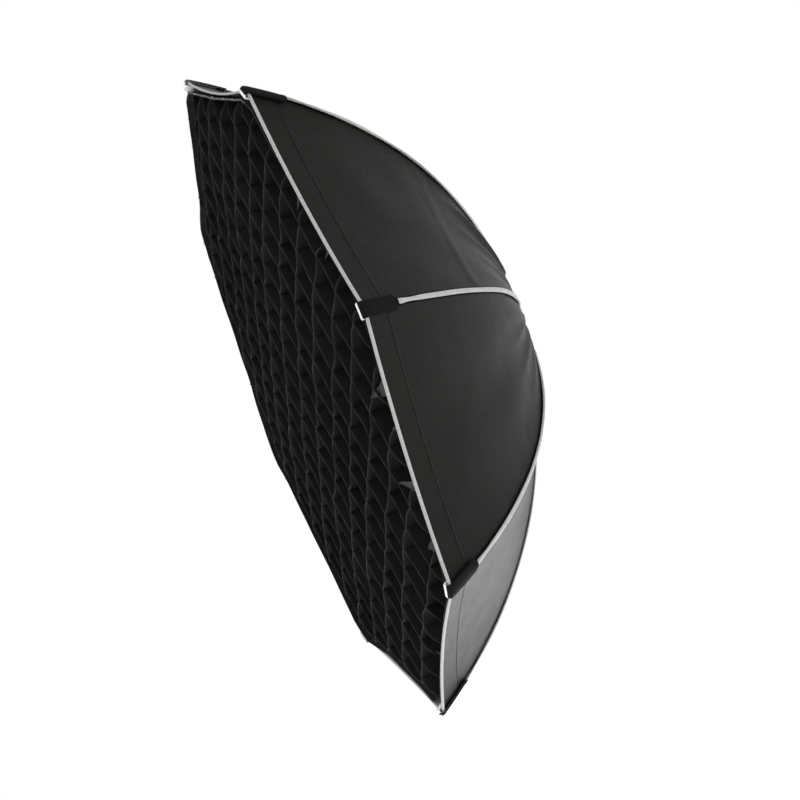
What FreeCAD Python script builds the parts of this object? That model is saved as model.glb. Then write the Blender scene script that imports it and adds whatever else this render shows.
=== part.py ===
"""Octabox: an eight-sided folding soft light box with a rotating bayonet mount ring and a fabric grid.

Frame: the axis of the box is Y. The lamp sits behind the box at +Y, and the light leaves through the
front, towards -Y. Rib 0 points straight up, along +Z, and the other ribs follow every 45 degrees
towards +X. The origin is the centre of the mount ring's rear seating face. All sizes are in millimetres.
"""
import FreeCAD, Part
import math
import os

Vector = FreeCAD.Vector

# ---- driving dimensions -------------------------------------------------------------------------
RIBS = 8
STEP = 360.0 / RIBS
HALF_STEP = STEP / 2
RIM_RADIUS = 475.0          # axis to a corner of the front rim
RIM_DEPTH = 298.0           # seating face to the plane of the front rim
BEND_RADIUS = 0.70          # the rib's middle control point, as shares of the rim radius
BEND_HEIGHT = 0.50
THROAT_RADIUS = 0.172       # the rib's end at the hub, as shares of the rim radius
THROAT_HEIGHT = 0.635
SHELL_END = 0.98            # share of the rib curve that the shell fabric covers

SHELL_THICKNESS = 1.2
SEAM_GAP = 0.75             # half of the gap between two gores, along a rib
FOLD_GAP = 0.3              # half of the gap between the two halves of a gore
SPAN = 230.0                # half of the widest gore, with room to spare

ROD_RADIUS = 2.0
ROD_DROP = 6.0              # from the outside of the shell to the axis of the rod, at the rim
ROD_START = 11.0            # from the hinge axis to the end of the rod
TIP_RADIUS = 2.8
TIP_LENGTH = 10.0

HINGE_RADIUS = 72.0         # axis of the box to the hinge of a rib
HINGE_Y = -18.0
PIN_RADIUS = 1.5
PIN_CLEARANCE = 0.06
PIN_LENGTH = 18.0
KNUCKLE_RADIUS = 6.0
HOLDER_WIDTH = 8.0
HOLDER_HEIGHT = 8.8
HOLDER_LENGTH = 26.0
HOLDER_BORE = 2.5

BORE_RADIUS = 45.0          # the lamp shines and reaches through this opening
SPIGOT_RADIUS = 48.8
SPIGOT_LENGTH = 12.0
LUG_RADIUS = 53.0
LUG_THICKNESS = 3.5
LUG_ANGLE = 30.0
FLANGE_RADIUS = 72.0
FLANGE_THICKNESS = 5.0
NECK_RADIUS = 52.0
NECK_LENGTH = 34.0

HUB_RADIUS = 78.0
HUB_BACK = -5.3
HUB_FRONT = -31.0
HUB_CLEARANCE = 0.3
HUB_LIP = 72.5
SLOT_WIDTH = 8.6
SLOT_FLOOR = -10.0
SLOT_INNER = 62.0

LATCH_PIVOT_RADIUS = 60.0
LATCH_PIVOT_Y = -34.0
LATCH_PIN_RADIUS = 1.2
LATCH_WIDTH = 7.6
LATCH_PADDLE = 18.0
EAR_THICKNESS = 3.0
EAR_GAP = 0.4

COLLAR_IN = 78.6
COLLAR_OUT = 80.0
COLLAR_LIP = 88.0
COLLAR_BACK = -3.0
COLLAR_FRONT = -12.0
COLLAR_LIP_BACK = -1.8

POCKET_WIDTH = 21.0
POCKET_LENGTH = 57.0
POCKET_INNER_LENGTH = 14.0
POCKET_THICKNESS = 2.4
POCKET_GAP = 0.6
POCKET_DEPTH = 9.8          # outside of the shell to the inner leg of the pocket
POCKET_REACH = 4.6          # rim edge to the inside of the pocket's fold

GRID_PITCH = 55.0
GRID_STRIPS = 7             # strips on each side of the middle one
GRID_FRONT = -8.0           # from the rim plane, towards the back
GRID_BACK = 43.0
GRID_THICKNESS = 1.2
BORDER_THICKNESS = 3.0
BORDER_FRONT = -7.5
WALL_GAP = 1.4
CORNER_CUT = 20.0           # how far inside a rib's outside the removable fabrics keep

DIFFUSER_DEPTH = 48.0
DIFFUSER_THICKNESS = 1.2
BAFFLE_DEPTH = 155.0
BAFFLE_CORNER = 300.0
BAFFLE_THICKNESS = 1.0
STRAP_WIDTH = 12.0
STRAP_THICKNESS = 1.0
STRAP_END_GAP = 19.0

Y_AXIS = Vector(0, 1, 0)
X_AXIS = Vector(1, 0, 0)
ORIGIN = Vector(0, 0, 0)
COS_HALF = math.cos(math.radians(HALF_STEP))
TAN_HALF = math.tan(math.radians(HALF_STEP))


# ---- helpers ------------------------------------------------------------------------------------
def save(name, shape):
    """Writes one sub-part as parts/NAME.step."""
    shape.exportStep("parts/" + name + ".step")


def turned(shape, azimuth):
    """A copy of a shape, turned about the box's axis from rib 0 towards +X."""
    copy = shape.copy()
    copy.rotate(ORIGIN, Y_AXIS, azimuth)
    return copy


def ring(inner, outer, front, back):
    """A round ring about the box's axis, from y = front to y = back."""
    disc = Part.makeCylinder(outer, back - front, Vector(0, front, 0), Y_AXIS)
    hole = Part.makeCylinder(inner, back - front + 2, Vector(0, front - 1, 0), Y_AXIS)
    return disc.cut(hole)


def block(half_width, front, back, low, high):
    """A box centred on rib 0's plane, between two y and two radii."""
    corner = Vector(-half_width, front, low)
    return Part.makeBox(2 * half_width, back - front, high - low, corner)


def cross_cylinder(radius, start, length, y, z):
    """A cylinder parallel to rib 0's hinge, from x = start."""
    return Part.makeCylinder(radius, length, Vector(start, y, z), X_AXIS)


def line_normal(start, end):
    """Unit normal of a line in (radius, y), on the side towards the axis and the front."""
    run = (end[0] - start[0], end[1] - start[1])
    length = math.hypot(run[0], run[1])
    return (-run[1] / length, run[0] / length)


def rib_points(drop=0.0, squeeze=1.0):
    """Control points (radius, y) of the rib's curve, moved inwards by drop. squeeze scales the radius."""
    back = -RIM_DEPTH
    first = (RIM_RADIUS * squeeze, back)
    middle = (BEND_RADIUS * RIM_RADIUS * squeeze, back + BEND_HEIGHT * RIM_RADIUS)
    last = (THROAT_RADIUS * RIM_RADIUS * squeeze, back + THROAT_HEIGHT * RIM_RADIUS)
    front_normal = line_normal(first, middle)
    back_normal = line_normal(middle, last)
    bend = 1 + front_normal[0] * back_normal[0] + front_normal[1] * back_normal[1]
    shift = [(front_normal[i] + back_normal[i]) / bend for i in range(2)]
    return [
        (first[0] + drop * front_normal[0], first[1] + drop * front_normal[1]),
        (middle[0] + drop * shift[0], middle[1] + drop * shift[1]),
        (last[0] + drop * back_normal[0], last[1] + drop * back_normal[1]),
    ]


def bezier(points, end=1.0):
    """A curve in the plane x = 0 from its control points (radius, y), up to a share of its length."""
    curve = Part.BezierCurve()
    curve.setPoles([Vector(0, y, radius) for radius, y in points])
    if end < 1.0:
        curve.segment(0.0, end)
    return curve


def rib_curve(drop=0.0, squeeze=1.0, end=1.0):
    """The shell's curve along a rib, from the rim towards the hub."""
    return bezier(rib_points(drop, squeeze), end)


def rod_points():
    """Control points (radius, y) of the rod: it follows the shell from the rim and runs in to its hinge."""
    first, middle, _ = rib_points(ROD_DROP)
    return [first, middle, (HINGE_RADIUS, HINGE_Y)]


def radius_at_depth(depth):
    """Outside radius of the shell at a corner, at a depth behind the rim plane."""
    low, high = 0.0, 1.0
    curve = rib_curve()
    for _ in range(40):
        middle = (low + high) / 2
        if curve.value(middle).y < -RIM_DEPTH + depth:
            low = middle
        else:
            high = middle
    return curve.value(low).z


def prism(points, start, length):
    """A solid from a closed outline in (radius, y) in rib 0's plane, extruded along x."""
    corners = [Vector(start, y, radius) for radius, y in points]
    face = Part.Face(Part.makePolygon(corners + corners[:1]))
    return face.extrude(Vector(length, 0, 0))


def cut_octagon(apothem, corner_limit, y):
    """A closed octagon wire, its corners cut off square to the ribs at a radius."""
    half_edge = corner_limit / math.cos(math.radians(HALF_STEP))
    corners = []
    for index in range(RIBS):
        for side in (-1, 1):
            # where the flat at HALF_STEP * side from this rib meets the cut across the rib
            along = (apothem - corner_limit * COS_HALF) / math.sin(math.radians(HALF_STEP))
            along = min(along, half_edge * TAN_HALF)
            azimuth = math.radians(index * STEP)
            x = corner_limit * math.sin(azimuth) + side * along * math.cos(azimuth)
            z = corner_limit * math.cos(azimuth) - side * along * math.sin(azimuth)
            corners.append(Vector(x, y, z))
    return Part.makePolygon(corners + corners[:1])


def cut_frustum(inset, front_depth, back_depth, wall_depths):
    """The solid space inside the shell between two depths, its walls along the shell's chord."""
    wires = []
    for depth in (front_depth, back_depth):
        near, far = wall_depths
        share = (depth - near) / (far - near)
        outside = radius_at_depth(near) * (1 - share) + radius_at_depth(far) * share
        apothem = outside * COS_HALF - SHELL_THICKNESS - WALL_GAP - inset
        corner = outside - CORNER_CUT - inset
        wires.append(cut_octagon(apothem, corner, -RIM_DEPTH + depth))
    return Part.makeLoft(wires, True, True)


# ---- mount ring and hub -------------------------------------------------------------------------
def insert_ring():
    """Bayonet ring that locks to the lamp: spigot with three lugs, flange, and the neck the hub turns on."""
    shape = ring(BORE_RADIUS, FLANGE_RADIUS, -FLANGE_THICKNESS, 0)
    shape = shape.fuse(ring(BORE_RADIUS, SPIGOT_RADIUS, -1, SPIGOT_LENGTH))
    shape = shape.fuse(ring(BORE_RADIUS, NECK_RADIUS, -NECK_LENGTH, -FLANGE_THICKNESS + 1))
    lug_front = SPIGOT_LENGTH - LUG_THICKNESS - 0.5
    for index in range(3):
        lug = Part.makeCylinder(LUG_RADIUS, LUG_THICKNESS, Vector(0, lug_front, 0), Y_AXIS, LUG_ANGLE)
        lug = lug.cut(Part.makeCylinder(BORE_RADIUS + 1, 40, Vector(0, -20, 0), Y_AXIS))
        shape = shape.fuse(turned(lug, index * 120.0))
    return shape.removeSplitter()


def retaining_ring():
    """Snap ring at the front of the neck, which keeps the hub on the insert."""
    return ring(NECK_RADIUS, NECK_RADIUS + 4.5, HUB_FRONT - 2.5, HUB_FRONT - 0.3)


def hub_ring():
    """The rib carrier: a slot and a hinge bore for each rib, and two ears for each latch lever."""
    shape = ring(NECK_RADIUS + HUB_CLEARANCE, HUB_RADIUS, HUB_FRONT, HUB_BACK)
    shape = shape.fuse(ring(HUB_LIP, HUB_RADIUS, HUB_BACK - 1, -1.0))
    slot = block(SLOT_WIDTH / 2, HUB_FRONT - 1, SLOT_FLOOR, SLOT_INNER, HUB_RADIUS + 5)
    pin_bore = cross_cylinder(PIN_RADIUS, -PIN_LENGTH / 2, 42.0, HINGE_Y, HINGE_RADIUS)
    ear_start = LATCH_WIDTH / 2 + EAR_GAP
    ears = []
    for side in (-1, 1):
        x = ear_start if side > 0 else -ear_start - EAR_THICKNESS
        plate = Part.makeBox(EAR_THICKNESS, 7.5, 6.0, Vector(x, HUB_FRONT - 6.5, LATCH_PIVOT_RADIUS - 2.5))
        ears.append(plate)
    latch_bore = cross_cylinder(LATCH_PIN_RADIUS, -20, 40, LATCH_PIVOT_Y, LATCH_PIVOT_RADIUS)
    for index in range(RIBS):
        azimuth = index * STEP
        for ear in ears:
            shape = shape.fuse(turned(ear, azimuth))
        shape = shape.cut(turned(slot, azimuth))
        shape = shape.cut(turned(pin_bore, azimuth))
        shape = shape.cut(turned(latch_bore, azimuth))
    return shape.removeSplitter()


def hinge_pins():
    """One pin for each rib hinge."""
    pin = cross_cylinder(PIN_RADIUS, -PIN_LENGTH / 2, PIN_LENGTH, HINGE_Y, HINGE_RADIUS)
    return Part.makeCompound([turned(pin, index * STEP) for index in range(RIBS)])


def latch_pins():
    """One pin for each latch lever."""
    reach = LATCH_WIDTH / 2 + EAR_GAP + EAR_THICKNESS
    pin = cross_cylinder(LATCH_PIN_RADIUS, -reach, 2 * reach, LATCH_PIVOT_Y, LATCH_PIVOT_RADIUS)
    return Part.makeCompound([turned(pin, index * STEP) for index in range(RIBS)])


def rear_collar():
    """Elastic cuff: a sleeve round the hub and a lip that closes the gap to the shell's throat."""
    sleeve = ring(COLLAR_IN, COLLAR_OUT, COLLAR_FRONT, COLLAR_BACK)
    return sleeve.fuse(ring(COLLAR_IN, COLLAR_LIP, COLLAR_BACK, COLLAR_LIP_BACK)).removeSplitter()


# ---- latch levers and ribs ----------------------------------------------------------------------
def latch_lever():
    """Release lever of rib 0: a nose beside the rib's knuckle and a paddle towards the front."""
    half = LATCH_WIDTH / 2
    barrel = cross_cylinder(2.4, -half, LATCH_WIDTH, LATCH_PIVOT_Y, LATCH_PIVOT_RADIUS)
    y, radius = LATCH_PIVOT_Y, LATCH_PIVOT_RADIUS
    outline = [
        (radius - 1.2, y - 1.0),
        (radius + 1.0, y + 2.0),
        (radius + 5.2, y + 3.6),
        (radius + 5.2, y + 9.5),
        (radius + 7.4, y + 10.8),
        (radius + 8.2, y + 6.0),
        (radius + 8.2, y + 0.5),
        (radius + 2.0, y - 3.0),
        (radius + 1.8, y - LATCH_PADDLE),
        (radius + 3.2, y - LATCH_PADDLE - 4.0),
        (radius + 0.6, y - LATCH_PADDLE - 4.0),
        (radius - 1.2, y - LATCH_PADDLE),
    ]
    shape = prism(outline, -half, LATCH_WIDTH).fuse(barrel)
    bore = cross_cylinder(LATCH_PIN_RADIUS + PIN_CLEARANCE, -half - 1, LATCH_WIDTH + 2, y, radius)
    return shape.cut(bore).removeSplitter()


def arm_direction():
    """Unit direction (radius, y) of the rib where it leaves its hinge."""
    _, middle, last = rod_points()
    run = (middle[0] - last[0], middle[1] - last[1])
    length = math.hypot(run[0], run[1])
    return (run[0] / length, run[1] / length)


def rib_holder():
    """Knuckle of rib 0: it turns on the hinge pin and holds the end of the rod."""
    half = HOLDER_WIDTH / 2
    knuckle = cross_cylinder(KNUCKLE_RADIUS, -half, HOLDER_WIDTH, HINGE_Y, HINGE_RADIUS)
    along = arm_direction()
    across = (-along[1], along[0])
    low, high = -HOLDER_HEIGHT / 2, HOLDER_HEIGHT / 2
    outline = []
    for distance, side in ((0, low), (HOLDER_LENGTH, low + 1.2), (HOLDER_LENGTH, high - 1.2), (0, high)):
        radius = HINGE_RADIUS + along[0] * distance + across[0] * side
        y = HINGE_Y + along[1] * distance + across[1] * side
        outline.append((radius, y))
    arm = prism(outline, -half, HOLDER_WIDTH)
    shape = knuckle.fuse(arm)
    pin_bore = cross_cylinder(PIN_RADIUS + PIN_CLEARANCE, -half - 1, HOLDER_WIDTH + 2, HINGE_Y, HINGE_RADIUS)
    start = ROD_START - 0.6
    socket_start = Vector(0, HINGE_Y + along[1] * start, HINGE_RADIUS + along[0] * start)
    socket = Part.makeCylinder(HOLDER_BORE, HOLDER_LENGTH, socket_start, Vector(0, along[1], along[0]))
    return shape.cut(pin_bore).cut(socket).removeSplitter()


def rib_rod():
    """Sprung steel rod of rib 0, with a crimped tip."""
    along = arm_direction()
    curve = bezier(rod_points())
    hinge = Vector(0, HINGE_Y, HINGE_RADIUS)
    low, high = 0.5, 1.0
    for _ in range(40):
        middle = (low + high) / 2
        if curve.value(middle).sub(hinge).dot(Vector(0, along[1], along[0])) > ROD_START:
            low = middle
        else:
            high = middle
    curve = bezier(rod_points(), low)
    edge = curve.toShape()
    section = Part.Wire(Part.makeCircle(ROD_RADIUS, curve.value(0), curve.tangent(0)[0]))
    rod = Part.Wire(edge).makePipeShell([section], True, True)
    if rod.ShapeType != "Solid":
        rod = Part.Solid(rod)
    tip = Part.makeCylinder(TIP_RADIUS, TIP_LENGTH, curve.value(0), curve.tangent(0)[0])
    return rod.fuse(tip).removeSplitter()


def corner_pocket():
    """Webbing pocket of rib 0: it folds over the rim and holds the rod's tip."""
    first, middle, _ = rib_points()
    run = (middle[0] - first[0], middle[1] - first[1])
    length = math.hypot(run[0], run[1])
    along = (run[0] / length, run[1] / length)
    inward = line_normal(first, middle)
    levels = (
        (POCKET_LENGTH, -POCKET_GAP - POCKET_THICKNESS),
        (-POCKET_REACH - POCKET_THICKNESS, -POCKET_GAP - POCKET_THICKNESS),
        (-POCKET_REACH - POCKET_THICKNESS, POCKET_DEPTH + POCKET_THICKNESS),
        (POCKET_INNER_LENGTH, POCKET_DEPTH + POCKET_THICKNESS),
        (POCKET_INNER_LENGTH, POCKET_DEPTH),
        (-POCKET_REACH, POCKET_DEPTH),
        (-POCKET_REACH, -POCKET_GAP),
        (POCKET_LENGTH, -POCKET_GAP),
    )
    outline = []
    for distance, depth in levels:
        radius = first[0] + along[0] * distance + inward[0] * depth
        y = first[1] + along[1] * distance + inward[1] * depth
        outline.append((radius, y))
    return prism(outline, -POCKET_WIDTH / 2, POCKET_WIDTH)


# ---- fabric -------------------------------------------------------------------------------------
def half_gore(side):
    """Half of the gore between rib 0 and rib 1: side -1 lies beside rib 0, side 1 beside rib 1."""
    outer = rib_curve(0.0, COS_HALF, SHELL_END)
    inner = rib_curve(SHELL_THICKNESS, COS_HALF, SHELL_END)
    edges = [
        outer.toShape(),
        Part.LineSegment(outer.value(1), inner.value(1)).toShape(),
        inner.toShape(),
        Part.LineSegment(inner.value(0), outer.value(0)).toShape(),
    ]
    face = Part.Face(Part.Wire(Part.__sortEdges__(edges)))
    sheet = face.extrude(Vector(side * SPAN, 0, 0))
    seam = SEAM_GAP / COS_HALF
    far = RIM_RADIUS + 20.0
    near = (FOLD_GAP + seam) / TAN_HALF
    corners = [
        Vector(side * FOLD_GAP, -RIM_DEPTH - 10, near),
        Vector(side * FOLD_GAP, -RIM_DEPTH - 10, far),
        Vector(side * (far * TAN_HALF - seam), -RIM_DEPTH - 10, far),
    ]
    wedge = Part.Face(Part.makePolygon(corners + corners[:1])).extrude(Vector(0, RIM_DEPTH + 20, 0))
    return turned(sheet.common(wedge), HALF_STEP)


def front_diffuser():
    """White front sheet, just behind the grid."""
    return cut_frustum(0.0, DIFFUSER_DEPTH, DIFFUSER_DEPTH + DIFFUSER_THICKNESS, (40.0, 60.0))


def inner_baffle():
    """Smaller white sheet half way back."""
    y = -RIM_DEPTH + BAFFLE_DEPTH
    corners = []
    for index in range(RIBS + 1):
        azimuth = math.radians(index * STEP)
        corners.append(Vector(BAFFLE_CORNER * math.sin(azimuth), y, BAFFLE_CORNER * math.cos(azimuth)))
    return Part.Face(Part.makePolygon(corners)).extrude(Vector(0, BAFFLE_THICKNESS, 0))


def baffle_straps():
    """Elastic straps from the baffle's corners towards the ribs."""
    y = -RIM_DEPTH + BAFFLE_DEPTH
    high = radius_at_depth(BAFFLE_DEPTH) - STRAP_END_GAP
    strap = block(STRAP_WIDTH / 2, y, y + STRAP_THICKNESS, BAFFLE_CORNER + 0.3, high)
    return Part.makeCompound([turned(strap, index * STEP) for index in range(RIBS)])


def grid_border():
    """Octagonal band that holds the grid's strips and sticks to the inside of the rim."""
    outer = cut_frustum(0.0, BORDER_FRONT, GRID_BACK, (0.0, GRID_BACK))
    inner = cut_frustum(BORDER_THICKNESS, BORDER_FRONT - 1, GRID_BACK + 1, (0.0, GRID_BACK))
    return outer.cut(inner)


def grid_lattice():
    """Crossing fabric strips, square to two pairs of the octagon's sides."""
    front = -RIM_DEPTH + GRID_FRONT
    depth = GRID_BACK - GRID_FRONT
    strips = []
    for index in range(-GRID_STRIPS, GRID_STRIPS + 1):
        start = Vector(index * GRID_PITCH - GRID_THICKNESS / 2, front, -RIM_RADIUS)
        strips.append(Part.makeBox(GRID_THICKNESS, depth, 2 * RIM_RADIUS, start))
    ways = []
    for azimuth in (-HALF_STEP, 90.0 - HALF_STEP):
        ways.append(Part.makeCompound([turned(strip, azimuth) for strip in strips]))
    lattice = ways[0].fuse(ways[1])
    space = cut_frustum(BORDER_THICKNESS + 0.2, GRID_FRONT, GRID_BACK, (0.0, GRID_BACK))
    return lattice.common(space).removeSplitter()


# ---- the model ----------------------------------------------------------------------------------
def main():
    os.makedirs("parts", exist_ok=True)
    save("insert_ring", insert_ring())
    save("retaining_ring", retaining_ring())
    save("hub_ring", hub_ring())
    save("hinge_pins", hinge_pins())
    save("latch_pins", latch_pins())
    save("rear_collar", rear_collar())
    rib_parts = {
        "rib_holder": rib_holder(),
        "rib_rod": rib_rod(),
        "corner_pocket": corner_pocket(),
        "latch_lever": latch_lever(),
    }
    after_rib = half_gore(-1)
    before_rib = turned(half_gore(1), -STEP)
    for index in range(RIBS):
        azimuth = index * STEP
        for name, shape in rib_parts.items():
            save(f"{name}_{index}", turned(shape, azimuth))
        save(f"gore_after_rib_{index}", turned(after_rib, azimuth))
        save(f"gore_before_rib_{index}", turned(before_rib, azimuth))
    save("front_diffuser", front_diffuser())
    save("inner_baffle", inner_baffle())
    save("baffle_straps", baffle_straps())
    save("grid_border", grid_border())
    save("grid_lattice", grid_lattice())


main()
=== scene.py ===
"""Looks of the folding octabox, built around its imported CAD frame. Metres, in the same frame as the CAD:
the box's axis is Y, the light leaves towards -Y, rib 0 points along +Z and the others follow towards +X.
"""
import math

import bmesh
import bpy
import numpy as np
from mathutils import Matrix, Vector


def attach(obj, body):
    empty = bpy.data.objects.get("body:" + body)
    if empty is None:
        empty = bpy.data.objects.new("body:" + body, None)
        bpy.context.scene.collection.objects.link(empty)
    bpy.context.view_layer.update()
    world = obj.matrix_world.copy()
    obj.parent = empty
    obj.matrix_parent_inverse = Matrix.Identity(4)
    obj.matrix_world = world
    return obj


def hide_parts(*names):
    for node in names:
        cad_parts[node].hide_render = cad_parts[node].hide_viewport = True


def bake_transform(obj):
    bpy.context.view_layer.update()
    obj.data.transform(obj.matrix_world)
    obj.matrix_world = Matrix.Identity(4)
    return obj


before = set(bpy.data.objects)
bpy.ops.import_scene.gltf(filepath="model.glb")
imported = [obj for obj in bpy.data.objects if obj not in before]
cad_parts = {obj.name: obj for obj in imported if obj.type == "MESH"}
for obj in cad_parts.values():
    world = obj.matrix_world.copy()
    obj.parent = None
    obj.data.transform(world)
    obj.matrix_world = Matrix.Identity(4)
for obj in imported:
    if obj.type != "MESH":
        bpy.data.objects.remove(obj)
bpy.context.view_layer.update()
scene = bpy.context.scene

# ---- sizes, in metres ----
RIBS = 8
STEP = math.tau / RIBS
HALF = STEP / 2
COS_HALF = math.cos(HALF)
SIN_HALF = math.sin(HALF)
TAN_HALF = math.tan(HALF)
RIM_RADIUS = 0.475
RIM_Y = -0.298
# the rib curve's control points, as (radius, y)
RIB_START = np.array([RIM_RADIUS, RIM_Y])
RIB_BEND = np.array([0.70 * RIM_RADIUS, RIM_Y + 0.50 * RIM_RADIUS])
RIB_END = np.array([0.172 * RIM_RADIUS, RIM_Y + 0.635 * RIM_RADIUS])
SHELL_END = 0.98  # share of the rib curve that the shell covers
FABRIC = 0.0009  # thickness of the shell's fabric with its lining
RIM_CUT = 0.0065  # share of the rib curve by which the rim is cut back between two ribs
RIM_SAG = 0.0100  # how far the rim's edge curves in between two corners
BODY_SAG = 0.006  # the same for the fabric further back
# slack over each rib, near the hub
RIDGE_DROP = (0.001, 0.001, 0.004, 0.001, 0.0015, 0.001, 0.002, 0.001)
HEM_WIDTH = 0.038  # from the rim's edge to the line of stitches
HEM_RISE = 0.0004  # the hems are this much thicker than the rest of the cloth
GRID_PITCH = 0.055
GRID_STRIPS = 7  # on each side of the middle one
GRID_BACK = -0.255
GRID_FRONT = -0.3035  # where the strips are cut
GRID_BULGE = 0.0125  # how far they come forward at the middle
BULGE_RADIUS = 0.43
BORDER_FRONT = -0.3042
BORDER_FLUSH = -0.2990  # the same on the sides around rib 3, where the border is pushed further in
WALL_GAP = 0.0022  # from the shell's inside to the grid's border
BORDER = 0.0026  # room that the border takes up
CORNER_CUT = 0.0145  # how much of each corner the border leaves out
DIFFUSER_Y = -0.2494
BAFFLE_Y = -0.1425
BAFFLE_CORNER = 0.300
WHITE_CLOTH = 0.0007  # thickness of the diffuser and the baffle


# ---- small helpers ----
def mix(a, b, share):
    return a + (b - a) * share


def smooth(x, low, high):
    """0 below low, 1 above high, and smooth in between."""
    s = np.clip((x - low) / (high - low), 0, 1)
    return s * s * (3 - 2 * s)


def unit(vectors):
    return vectors / np.linalg.norm(vectors, axis=-1, keepdims=True)


def run_of(path):
    """The distance of each point from the start of a path."""
    return np.concatenate([[0], np.cumsum(np.linalg.norm(np.diff(path, axis=0), axis=1))])


def waves(x, y, seed, size):
    """A smooth random height from about -1 to 1, for bumps of about this size."""
    rng = np.random.default_rng(seed)
    total = np.zeros(np.broadcast(x, y).shape)
    for _ in range(6):
        angle = rng.uniform(0, math.tau)
        rate = math.tau * rng.uniform(0.6, 1.5) / size
        total = total + np.sin(rate * (x * math.cos(angle) + y * math.sin(angle)) + rng.uniform(0, math.tau))
    return total / 3.0


def polar(radius, y, azimuth):
    """Points from their distance to the box's axis, their depth and their azimuth."""
    return np.stack(np.broadcast_arrays(radius * np.sin(azimuth), y, radius * np.cos(azimuth)), -1)


def turned(points, azimuth):
    """Points turned about the box's axis, from rib 0 towards +X."""
    c, s = math.cos(azimuth), math.sin(azimuth)
    x = points[..., 0] * c + points[..., 2] * s
    z = -points[..., 0] * s + points[..., 2] * c
    return np.stack([x, points[..., 1], z], -1)


def rib(t):
    """(radius, y) of the outside of a rib, from the rim at t = 0 to the hub at t = 1."""
    t = np.asarray(t, float)[..., None]
    return RIB_START * (1 - t) ** 2 + RIB_BEND * 2 * t * (1 - t) + RIB_END * t ** 2


def rib_tangent(t):
    """Unit direction (radius, y) of a rib, towards the hub."""
    t = np.asarray(t, float)[..., None]
    return unit((RIB_BEND - RIB_START) * (1 - t) + (RIB_END - RIB_BEND) * t)


def rib_normal(t):
    """Unit direction (radius, y) square to a rib, away from the inside of the box."""
    tangent = rib_tangent(t)
    return np.stack([tangent[..., 1], -tangent[..., 0]], -1)


ARC_T = np.linspace(0, 1, 401)
ARC = run_of(rib(ARC_T))


def at_length(length):
    """The rib's t at a distance from the rim, measured along the rib."""
    return np.interp(length, ARC, ARC_T)


def length_at(t):
    """The reverse: the distance along the rib at t."""
    return np.interp(t, ARC_T, ARC)


# ---- meshes ----
SHARP_ANGLE = math.radians(50)


def add(name, data):
    """A new object in the scene."""
    thing = bpy.data.objects.new(name, data)
    scene.collection.objects.link(thing)
    return thing


def make(name, points, faces, materials, numbers=0, uv=None):
    """A mesh object. numbers gives each face its material, and uv holds one pair of metres for each point."""
    points = np.asarray(points)
    mesh = bpy.data.meshes.new(name)
    mesh.from_pydata([tuple(p) for p in points], [], [tuple(int(i) for i in f) for f in faces])
    mesh.polygons.foreach_set("material_index", np.broadcast_to(numbers, len(faces)).astype(np.int32))
    layer = mesh.uv_layers.new(name="UVMap")
    corner = np.zeros(len(mesh.loops), np.int32)
    mesh.loops.foreach_get("vertex_index", corner)
    if uv is None:
        uv = points[:, [0, 2]]
    layer.data.foreach_set("uv", np.asarray(uv, np.float32)[corner].ravel())
    bm = bmesh.new()
    bm.from_mesh(mesh)
    bmesh.ops.recalc_face_normals(bm, faces=bm.faces)
    for face in bm.faces:
        face.smooth = True
    for edge in bm.edges:
        edge.smooth = len(edge.link_faces) < 2 or edge.calc_face_angle(0.0) < SHARP_ANGLE
    bm.to_mesh(mesh)
    bm.free()
    for material in materials:
        mesh.materials.append(material)
    return add(name, mesh)


def quads(index):
    """Faces of a grid of point numbers."""
    a, b, c, d = index[:-1, :-1], index[:-1, 1:], index[1:, 1:], index[1:, :-1]
    return np.stack([a, b, c, d], -1).reshape(-1, 4)


def two_sided(top, bottom, around=False):
    """Points and faces of a closed sheet: two grids of points and the edges between them.
    around joins the last column to the first. Also returns which faces belong to the bottom."""
    rows, columns = top.shape[:2]
    points = np.concatenate([top.reshape(-1, 3), bottom.reshape(-1, 3)])
    upper = np.arange(rows * columns).reshape(rows, columns)
    if around:
        upper = np.concatenate([upper, upper[:, :1]], 1)
    lower = upper + rows * columns
    rims = [(upper[0], lower[0]), (lower[-1], upper[-1])]
    if not around:
        rims += [(lower[:, 0], upper[:, 0]), (upper[:, -1], lower[:, -1])]
    edges = [quads(np.stack([a, b])) for a, b in rims]
    faces = np.concatenate([quads(upper), quads(lower)[:, ::-1], *edges])
    under = np.zeros(len(faces), np.int32)
    count = len(quads(upper))
    under[count:2 * count] = 1
    return points, faces, under


def tube(path, side, up, section, scale=None):
    """Points and faces of a closed tube. section holds (side, up) offsets, scale a size for each station."""
    stations, corners = len(path), len(section)
    size = np.ones(stations) if scale is None else np.asarray(scale, float)
    offset = section * size[:, None, None]
    points = path[:, None] + side[:, None] * offset[..., :1] + up[:, None] * offset[..., 1:]
    index = np.arange(stations * corners).reshape(stations, corners)
    ringed = np.concatenate([index, index[:, :1]], 1)
    faces = [tuple(f) for f in quads(ringed)]
    faces += [tuple(index[0][::-1]), tuple(index[-1])]
    return points.reshape(-1, 3), faces


def oval(half_width, half_height, corners):
    """A rounded section with flattened sides."""
    angle = np.arange(corners) * math.tau / corners
    c, s = np.cos(angle), np.sin(angle)
    x, y = (np.sign(part) * np.abs(part) ** 0.7 for part in (c, s))
    return np.stack([x * half_width, y * half_height], 1)


def sheet_uv(across, along):
    """Texture places of a closed sheet's points, the same on both sides."""
    return np.tile(np.stack(np.broadcast_arrays(across, along), -1).reshape(-1, 2), (2, 1))


def tube_uv(corners, width, lengths):
    """Texture places of a tube's points: round it and along it."""
    around = np.tile(np.arange(corners) * width, len(lengths))
    return np.stack([around, np.repeat(lengths, corners)], 1)


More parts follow.
